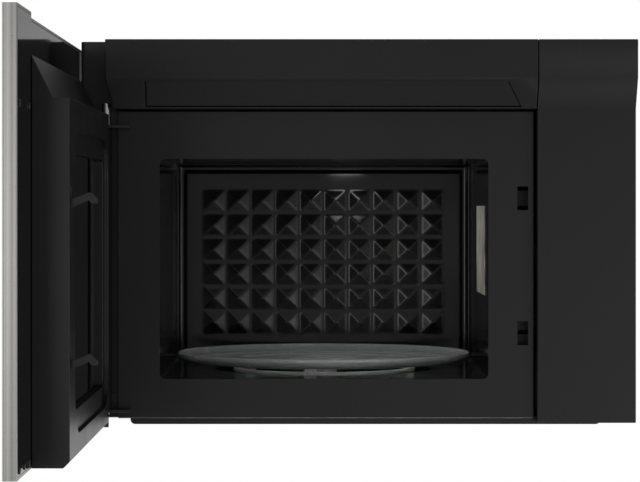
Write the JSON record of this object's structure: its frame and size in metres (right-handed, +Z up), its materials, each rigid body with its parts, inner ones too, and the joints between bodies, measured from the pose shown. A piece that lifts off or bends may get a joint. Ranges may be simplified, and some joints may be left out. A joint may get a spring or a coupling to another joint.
{
  "type": "over the range microwave",
  "caption": "Over the range microwave hood with a thick side hinged door, embossed cavity, glass turntable, blower and grease filters.",
  "frame": {"origin": "centre of the rear panel's wall face, at mid height of the case", "axes": "+Y into the wall, front towards -Y, +Z up, +X to the right seen from the front"},
  "size_m": [0.621, 0.973, 0.4195],
  "materials": {
    "case_paint": "powder coated steel",
    "galvanised_steel": "galvanised sheet",
    "zinc_screw": "zinc plated",
    "filter_mesh": "layered expanded mesh",
    "frosted_lens": "frosted moulding",
    "circuit_board": "glass epoxy board",
    "frame_enamel": "satin black enamel",
    "cavity_enamel": "semi gloss black enamel",
    "mica": "pressed mica sheet",
    "lamp_glass": "lamp bulb",
    "black_moulding": "fine textured moulding",
    "charcoal_pad": "carbon filled pad",
    "black_rubber": "moulded rubber",
    "black_bracket": "black plated steel",
    "bright_pin": "bright steel",
    "clear_glass": "tempered glass",
    "white_moulding": "white moulding",
    "magnetron_steel": "pressed and finned",
    "core_steel": "varnished laminations",
    "bare_aluminium": "drawn can",
    "brushed_steel": "brushed stainless sheet",
    "black_glass": "black backed glass",
    "gloss_black": "gloss black sheet",
    "door_moulding": "satin moulding",
    "screen_steel": "perforated sheet",
    "inner_film": "clear inner pane",
    "display_window": "display",
    "black_screw": "black screws"
  },
  "bodies": {
    "root": {"case_roof": "case_paint", "left_side_panel": "case_paint", "right_side_panel": "case_paint", "rear_panel": "galvanised_steel", "base_pan": "galvanised_steel", "bottom_cover": "case_paint", "case_fasteners": "zinc_screw", "cooktop_lamp_lens": "frosted_lens", "cooktop_lamp": "circuit_board", "front_frame": "frame_enamel", "cavity_liner": "cavity_enamel", "cavity_back": "cavity_enamel", "waveguide_cover": "mica", "lamp_housing": "galvanised_steel", "cavity_lamp": "lamp_glass", "top_fascia": "black_moulding", "vent_cover": "black_moulding", "air_louvre": "black_moulding", "side_column": "black_moulding", "charcoal_filter": "charcoal_pad", "duct_collar": "galvanised_steel", "cord_bushing": "black_rubber", "upper_hinge_bracket": "black_bracket", "lower_hinge_bracket": "black_bracket", "hinge_pins": "bright_pin", "turntable_motor": "galvanised_steel", "waveguide": "galvanised_steel", "magnetron": "magnetron_steel", "transformer": "core_steel", "capacitor": "bare_aluminium", "cooling_fan_frame": "black_moulding", "noise_filter_board": "circuit_board", "latch_switch_bracket": "black_moulding", "interlock_switches": "black_moulding", "blower_housing": "galvanised_steel", "blower_motor": "core_steel"},
    "door": {"door_shell": "brushed_steel", "door_glass": "black_glass", "door_back_plate": "gloss_black", "door_liner": "door_moulding", "window_screen": "screen_steel", "inner_pane": "inner_film", "finger_pull": "black_moulding", "control_board": "circuit_board", "display_module": "display_window", "door_screws": "black_screw", "latch_spring": "zinc_screw"},
    "latch": {"latch_lever": "black_moulding"},
    "turntable": {"glass_turntable": "clear_glass", "drive_coupler": "white_moulding", "drive_shaft": "bright_pin"},
    "roller_ring": {"roller_ring": "white_moulding"},
    "roller_1": {"roller_1": "white_moulding"},
    "roller_2": {"roller_2": "white_moulding"},
    "roller_3": {"roller_3": "white_moulding"},
    "blower": {"blower_wheels": "black_moulding"},
    "cooling_fan": {"cooling_fan_rotor": "white_moulding"},
    "damper": {"damper_flap": "galvanised_steel"},
    "left_filter": {"left_grease_filter": "filter_mesh"},
    "right_filter": {"right_grease_filter": "filter_mesh"}
  },
  "joints": [
    {"name": "door_hinge", "type": "hinge", "parent": "root", "child": "door", "pos_m": [-0.275, -0.395, 0], "axis": [0, 0, 1], "range_deg": [0, 90]},
    {"name": "latch_slide", "type": "slide", "parent": "door", "child": "latch", "axis": [0, 0, 1], "range_m": [0, 0.004], "stiffness_N_per_m": 250, "springref_m": -0.002, "deforming": ["latch_spring"]},
    {"name": "turntable_spin", "type": "hinge", "parent": "root", "child": "turntable", "pos_m": [-0.037, -0.204, 0], "axis": [0, 0, 1], "continuous": true},
    {"name": "roller_ring_spin", "type": "hinge", "parent": "root", "child": "roller_ring", "pos_m": [-0.037, -0.204, 0], "axis": [0, 0, 1], "continuous": true},
    {"name": "blower_spin", "type": "hinge", "parent": "root", "child": "blower", "pos_m": [0, -0.066, 0.132], "axis": [1, 0, 0], "continuous": true},
    {"name": "cooling_fan_spin", "type": "hinge", "parent": "root", "child": "cooling_fan", "pos_m": [0.222, -0.02, -0.04], "axis": [0, 1, 0], "continuous": true},
    {"name": "damper_hinge", "type": "hinge", "parent": "root", "child": "damper", "pos_m": [0, -0.0275, 0.1925], "axis": [-1, 0, 0], "range_deg": [0, 80]},
    {"name": "left_filter_slide", "type": "slide", "parent": "root", "child": "left_filter", "axis": [0, 1, 0], "range_m": [0, 0.012]},
    {"name": "right_filter_slide", "type": "slide", "parent": "root", "child": "right_filter", "axis": [0, 1, 0], "range_m": [0, 0.012]},
    {"name": "roller_1_spin", "type": "hinge", "parent": "roller_ring", "child": "roller_1", "pos_m": [-0.05231, -0.31293, -0.1615], "axis": [-0.1392, -0.9903, 0], "continuous": true},
    {"name": "roller_2_spin", "type": "hinge", "parent": "roller_ring", "child": "roller_2", "pos_m": [0.06499, -0.16279, -0.1615], "axis": [0.9272, 0.3746, 0], "continuous": true},
    {"name": "roller_3_spin", "type": "hinge", "parent": "roller_ring", "child": "roller_3", "pos_m": [-0.12368, -0.13628, -0.1615], "axis": [-0.788, 0.6157, 0], "continuous": true}
  ],
  "couplings": [
    {"joint": "roller_ring_spin", "follows": "turntable_spin", "ratio": 0.5},
    {"joint": "roller_1_spin", "follows": "turntable_spin", "ratio": -6.875},
    {"joint": "roller_2_spin", "follows": "turntable_spin", "ratio": -6.875},
    {"joint": "roller_3_spin", "follows": "turntable_spin", "ratio": -6.875}
  ]
}
